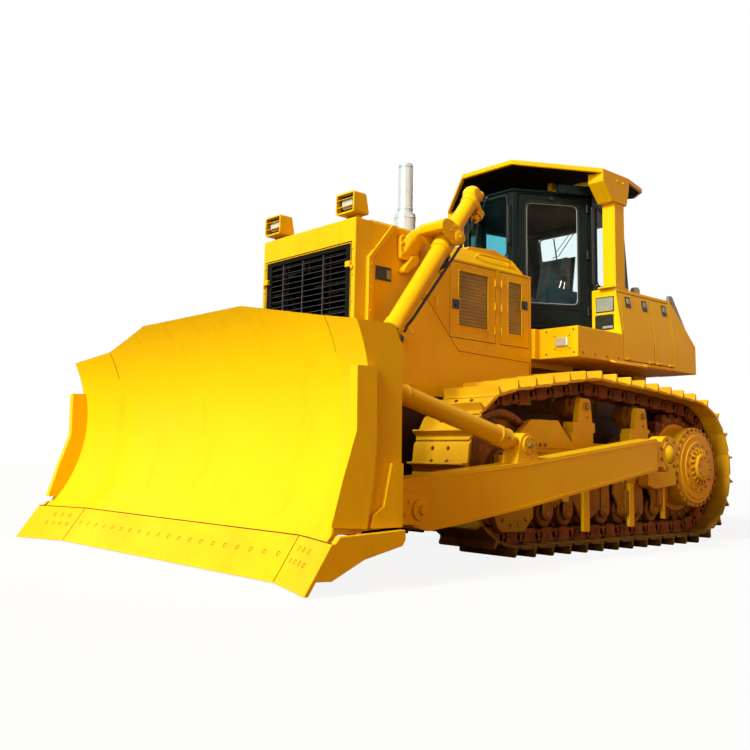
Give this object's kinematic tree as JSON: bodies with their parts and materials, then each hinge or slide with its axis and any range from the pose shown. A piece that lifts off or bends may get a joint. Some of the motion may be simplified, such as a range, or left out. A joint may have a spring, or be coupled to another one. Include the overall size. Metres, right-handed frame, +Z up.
{
  "type": "crawler bulldozer",
  "caption": "Large crawler tractor with a semi-U dozing blade on push arms, twin lift cylinders, hexagonal cab and a two-post roll-over frame",
  "frame": {"origin": "middle of the footprint at ground level", "axes": "+X forward, +Y to the driver's left, +Z up"},
  "size_m": [6.401, 4.28, 3.922],
  "materials": {
    "paint": "gloss paint over steel",
    "barrel_paint": "gloss paint on drawn tube",
    "edge_steel": "painted hardened steel",
    "track_steel": "painted forged steel, worn",
    "black_metal": "satin black paint",
    "engine_iron": "cast",
    "silver_pipe": "heat-proof aluminium paint",
    "lens": "ribbed lens",
    "window": "tinted pane",
    "seat_cover": "vinyl",
    "cab_trim": "grained",
    "rod_chrome": "polished"
  },
  "bodies": {
    "machine": {"main_frame": "paint", "cross_shafts": "paint", "drawbar": "paint", "hood": "paint", "radiator_guard": "paint", "headlamps": "paint", "platform": "paint", "side_box_left": "paint", "side_box_right": "paint", "fuel_tank": "paint", "rops": "paint", "lift_yokes": "paint", "track_frame_left": "paint", "track_frame_right": "paint", "bogies": "paint", "final_drives": "paint", "idlers": "paint", "bottom_rollers": "paint", "carrier_rollers": "paint", "track_left": "track_steel", "track_right": "track_steel", "grille": "black_metal", "cab_shell": "black_metal", "engine_block": "engine_iron", "exhaust_stack": "silver_pipe", "lamp_lenses": "lens", "cab_glass": "window", "seat": "seat_cover", "cab_controls": "cab_trim"},
    "blade": {"moldboard": "paint", "cutting_edges": "edge_steel", "push_arms": "paint", "braces": "paint"},
    "barrel_left": {"lift_barrel_left": "barrel_paint"},
    "barrel_right": {"lift_barrel_right": "barrel_paint"},
    "rod_left": {"lift_rod_left": "rod_chrome"},
    "rod_right": {"lift_rod_right": "rod_chrome"},
    "door_left": {"cab_door_left": "black_metal", "door_glass_left": "window"},
    "door_right": {"cab_door_right": "black_metal", "door_glass_right": "window"},
    "engine_panel_front_left": {"engine_door_front_left": "paint"},
    "cover_front_left": {"box_cover_front_left": "paint"},
    "engine_panel_front_right": {"engine_door_front_right": "paint"},
    "cover_front_right": {"box_cover_front_right": "paint"},
    "engine_panel_rear_left": {"engine_door_rear_left": "paint"},
    "cover_rear_left": {"box_cover_rear_left": "paint"},
    "engine_panel_rear_right": {"engine_door_rear_right": "paint"},
    "cover_rear_right": {"box_cover_rear_right": "paint"}
  },
  "joints": [
    {"name": "blade_lift", "type": "hinge", "parent": "machine", "child": "blade", "pos_m": [-1.28963, 0, 0.88], "axis": [0, -1, 0], "range_deg": [-8.5, 19]},
    {"name": "barrel_swing_left", "type": "hinge", "parent": "machine", "child": "barrel_left", "pos_m": [0.83037, 0.93, 2.66], "axis": [0, -1, 0], "range_deg": [-9.1, 20.1]},
    {"name": "rod_stroke_left", "type": "slide", "parent": "barrel_left", "child": "rod_left", "axis": [0.5934, 0, -0.8049], "range_m": [-0.912, 0.41]},
    {"name": "barrel_swing_right", "type": "hinge", "parent": "machine", "child": "barrel_right", "pos_m": [0.83037, -0.93, 2.66], "axis": [0, -1, 0], "range_deg": [-9.1, 20.1]},
    {"name": "rod_stroke_right", "type": "slide", "parent": "barrel_right", "child": "rod_right", "axis": [0.5934, 0, -0.8049], "range_m": [-0.912, 0.41]},
    {"name": "cab_door_swing_left", "type": "hinge", "parent": "machine", "child": "door_left", "pos_m": [-1.4729, 0.75961, 2.8], "axis": [0, 0, 1], "range_deg": [0, 90]},
    {"name": "cab_door_swing_right", "type": "hinge", "parent": "machine", "child": "door_right", "pos_m": [-1.4729, -0.75961, 2.8], "axis": [0, 0, -1], "range_deg": [0, 90]},
    {"name": "engine_panel_front_swing_left", "type": "hinge", "parent": "machine", "child": "engine_panel_front_left", "pos_m": [-0.14363, 0.656, 2.2], "axis": [0, 0, 1], "range_deg": [0, 85]},
    {"name": "cover_front_drop_left", "type": "hinge", "parent": "machine", "child": "cover_front_left", "pos_m": [-1.93963, 1.15, 1.825], "axis": [-1, 0, 0], "range_deg": [0, 90]},
    {"name": "engine_panel_rear_swing_left", "type": "hinge", "parent": "machine", "child": "engine_panel_rear_left", "pos_m": [-0.21563, 0.656, 2.2], "axis": [0, 0, -1], "range_deg": [0, 85]},
    {"name": "cover_rear_drop_left", "type": "hinge", "parent": "machine", "child": "cover_rear_left", "pos_m": [-1.93963, 1.15, 1.825], "axis": [-1, 0, 0], "range_deg": [0, 90]},
    {"name": "engine_panel_front_swing_right", "type": "hinge", "parent": "machine", "child": "engine_panel_front_right", "pos_m": [-0.14363, -0.656, 2.2], "axis": [0, 0, -1], "range_deg": [0, 85]},
    {"name": "cover_front_drop_right", "type": "hinge", "parent": "machine", "child": "cover_front_right", "pos_m": [-1.93963, -1.15, 1.825], "axis": [1, 0, 0], "range_deg": [0, 90]},
    {"name": "engine_panel_rear_swing_right", "type": "hinge", "parent": "machine", "child": "engine_panel_rear_right", "pos_m": [-0.21563, -0.656, 2.2], "axis": [0, 0, 1], "range_deg": [0, 85]},
    {"name": "cover_rear_drop_right", "type": "hinge", "parent": "machine", "child": "cover_rear_right", "pos_m": [-1.93963, -1.15, 1.825], "axis": [1, 0, 0], "range_deg": [0, 90]}
  ],
  "couplings": [
    {"joint": "barrel_swing_left", "follows": "blade_lift", "ratio": 1.042},
    {"joint": "rod_stroke_left", "follows": "blade_lift", "m_per_rad": -2.737},
    {"joint": "barrel_swing_right", "follows": "blade_lift", "ratio": 1.042},
    {"joint": "rod_stroke_right", "follows": "blade_lift", "m_per_rad": -2.737}
  ]
}
